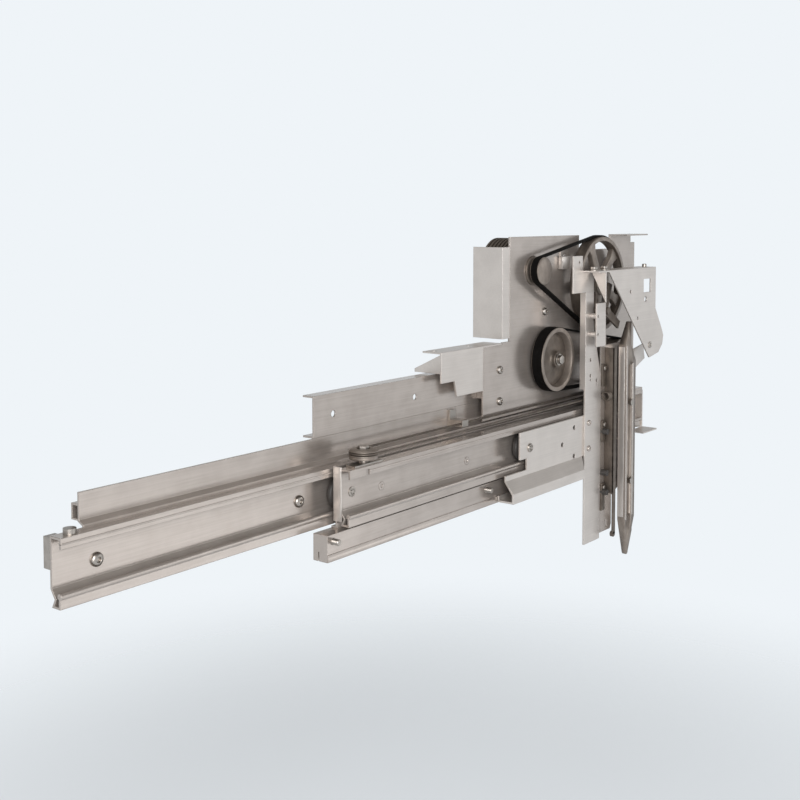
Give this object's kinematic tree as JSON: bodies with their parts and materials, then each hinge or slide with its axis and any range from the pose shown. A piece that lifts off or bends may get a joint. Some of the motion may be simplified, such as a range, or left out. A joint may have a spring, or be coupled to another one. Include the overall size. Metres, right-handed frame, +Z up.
{
  "type": "elevator_door_operator",
  "caption": "Two-panel telescopic elevator door operator with fixed and sliding tracks, a belt drive on a tall plate and a vane coupler",
  "frame": {"origin": "middle of the two header fixing holes, on the back face of the header plate", "axes": "X along the tracks, the door opens towards -X; +Y into the header's mounting face, -Y towards the landing; +Z up"},
  "size_m": [1.3175, 0.1485, 0.566],
  "materials": {
    "zinc": "satin zinc-plated sheet",
    "pale_zinc": "bright galvanised sheet",
    "bright_steel": "bright turned steel",
    "dark_steel": "dark phosphated steel",
    "cast_grey": "as-cast grey alloy",
    "belt_black": "matte black rubber",
    "roller_grey": "dark grey plastic"
  },
  "bodies": {
    "header": {"track_beam": "zinc", "header_track": "zinc", "header_plate": "zinc", "drive_plate": "zinc", "roof_ear": "pale_zinc", "end_bracket": "pale_zinc", "end_block": "bright_steel", "motor_body": "dark_steel", "motor_flange": "cast_grey", "motor_cover": "pale_zinc", "wheel_bearing": "cast_grey", "lower_bearing": "cast_grey", "idler_axle": "bright_steel", "motor_belt": "belt_black", "door_belt": "belt_black", "reduction_belt": "belt_black", "track_screws": "bright_steel", "plate_screws": "bright_steel", "rope_anchor": "bright_steel"},
    "motor_rotor": {"motor_pulley": "cast_grey", "motor_shaft": "bright_steel"},
    "wheel": {"drive_wheel": "cast_grey", "wheel_shaft": "bright_steel", "wheel_pinion": "cast_grey"},
    "left_idler": {"left_pulley": "cast_grey"},
    "right_drum": {"right_pulley": "cast_grey", "lower_shaft": "bright_steel", "reduction_pulley": "cast_grey"},
    "slow": {"slow_plate": "zinc", "slow_track": "zinc", "slow_channel": "zinc", "slow_studs": "bright_steel", "slow_axles": "bright_steel", "slow_screws": "bright_steel", "sheave_brackets": "bright_steel", "sheave_bolts": "bright_steel", "sync_rope": "dark_steel"},
    "slow_wheel_left": {"slow_roller_left": "roller_grey"},
    "slow_wheel_right": {"slow_roller_right": "roller_grey"},
    "sheave_left": {"rope_sheave_left": "pale_zinc"},
    "sheave_right": {"rope_sheave_right": "pale_zinc"},
    "fast": {"fast_plate": "pale_zinc", "fast_axles": "bright_steel", "rope_clamp": "bright_steel", "coupler_post": "pale_zinc", "coupler_back": "zinc", "head_bracket": "pale_zinc", "fixed_vane_bar": "dark_steel", "lever_bracket": "pale_zinc", "coupler_screws": "bright_steel", "vane_buffers": "roller_grey", "vane_spring": "dark_steel"},
    "fast_wheel_left": {"fast_roller_left": "roller_grey"},
    "fast_wheel_right": {"fast_roller_right": "roller_grey"},
    "link_upper": {"vane_link_upper": "bright_steel"},
    "link_lower": {"vane_link_lower": "bright_steel"},
    "vane": {"moving_vane": "zinc"},
    "lever": {"head_lever": "dark_steel"}
  },
  "joints": [
    {"name": "slow_slide", "type": "slide", "parent": "header", "child": "slow", "axis": [1, 0, 0], "range_m": [-0.375, 0]},
    {"name": "fast_slide", "type": "slide", "parent": "slow", "child": "fast", "axis": [1, 0, 0], "range_m": [-0.375, 0]},
    {"name": "slow_wheel_left_turn", "type": "hinge", "parent": "slow", "child": "slow_wheel_left", "pos_m": [-0.098, -0.025, -0.1014], "axis": [0, 1, 0], "continuous": true},
    {"name": "slow_wheel_right_turn", "type": "hinge", "parent": "slow", "child": "slow_wheel_right", "pos_m": [0.63, -0.025, -0.1014], "axis": [0, 1, 0], "continuous": true},
    {"name": "fast_wheel_left_turn", "type": "hinge", "parent": "fast", "child": "fast_wheel_left", "pos_m": [0.305, -0.0555, -0.1014], "axis": [0, 1, 0], "continuous": true},
    {"name": "fast_wheel_right_turn", "type": "hinge", "parent": "fast", "child": "fast_wheel_right", "pos_m": [0.6, -0.0555, -0.1014], "axis": [0, 1, 0], "continuous": true},
    {"name": "sheave_left_turn", "type": "hinge", "parent": "slow", "child": "sheave_left", "pos_m": [-0.077, -0.044, -0.049], "axis": [0, 0, 1], "continuous": true},
    {"name": "sheave_right_turn", "type": "hinge", "parent": "slow", "child": "sheave_right", "pos_m": [0.64, -0.044, -0.049], "axis": [0, 0, 1], "continuous": true},
    {"name": "left_idler_turn", "type": "hinge", "parent": "header", "child": "left_idler", "pos_m": [0.425, -0.037, 0.025], "axis": [0, 1, 0], "continuous": true},
    {"name": "right_drum_turn", "type": "hinge", "parent": "header", "child": "right_drum", "pos_m": [0.65, -0.037, 0.004], "axis": [0, 1, 0], "continuous": true},
    {"name": "wheel_turn", "type": "hinge", "parent": "header", "child": "wheel", "pos_m": [0.579, -0.037, 0.144], "axis": [0, 1, 0], "continuous": true},
    {"name": "motor_turn", "type": "hinge", "parent": "header", "child": "motor_rotor", "pos_m": [0.386, -0.036, 0.174], "axis": [0, 1, 0], "continuous": true},
    {"name": "link_upper_swing", "type": "hinge", "parent": "fast", "child": "link_upper", "pos_m": [0.605, -0.071, -0.029], "axis": [0, -1, 0], "range_deg": [0, 18]},
    {"name": "link_lower_swing", "type": "hinge", "parent": "fast", "child": "link_lower", "pos_m": [0.605, -0.071, -0.169], "axis": [0, -1, 0], "range_deg": [0, 18]},
    {"name": "vane_swing", "type": "hinge", "parent": "link_upper", "child": "vane", "pos_m": [0.605, -0.088, -0.065], "axis": [0, -1, 0], "range_deg": [-18, 0]},
    {"name": "lever_swing", "type": "hinge", "parent": "fast", "child": "lever", "pos_m": [0.532, -0.076, 0.101], "axis": [0, -1, 0], "range_deg": [0, 18]}
  ],
  "couplings": [
    {"joint": "fast_slide", "follows": "slow_slide", "ratio": 1},
    {"joint": "slow_wheel_left_turn", "follows": "slow_slide", "rad_per_m": 48.544},
    {"joint": "slow_wheel_right_turn", "follows": "slow_slide", "rad_per_m": 48.544},
    {"joint": "fast_wheel_left_turn", "follows": "slow_slide", "rad_per_m": 48.544},
    {"joint": "fast_wheel_right_turn", "follows": "slow_slide", "rad_per_m": 48.544},
    {"joint": "sheave_left_turn", "follows": "slow_slide", "rad_per_m": 54.054},
    {"joint": "sheave_right_turn", "follows": "slow_slide", "rad_per_m": 54.054},
    {"joint": "left_idler_turn", "follows": "slow_slide", "rad_per_m": -38.059},
    {"joint": "right_drum_turn", "follows": "slow_slide", "rad_per_m": -53.262},
    {"joint": "wheel_turn", "follows": "slow_slide", "rad_per_m": -84.926},
    {"joint": "motor_turn", "follows": "slow_slide", "rad_per_m": -325.64},
    {"joint": "link_lower_swing", "follows": "link_upper_swing", "ratio": 1},
    {"joint": "vane_swing", "follows": "link_upper_swing", "ratio": -1},
    {"joint": "lever_swing", "follows": "link_upper_swing", "ratio": 1}
  ]
}
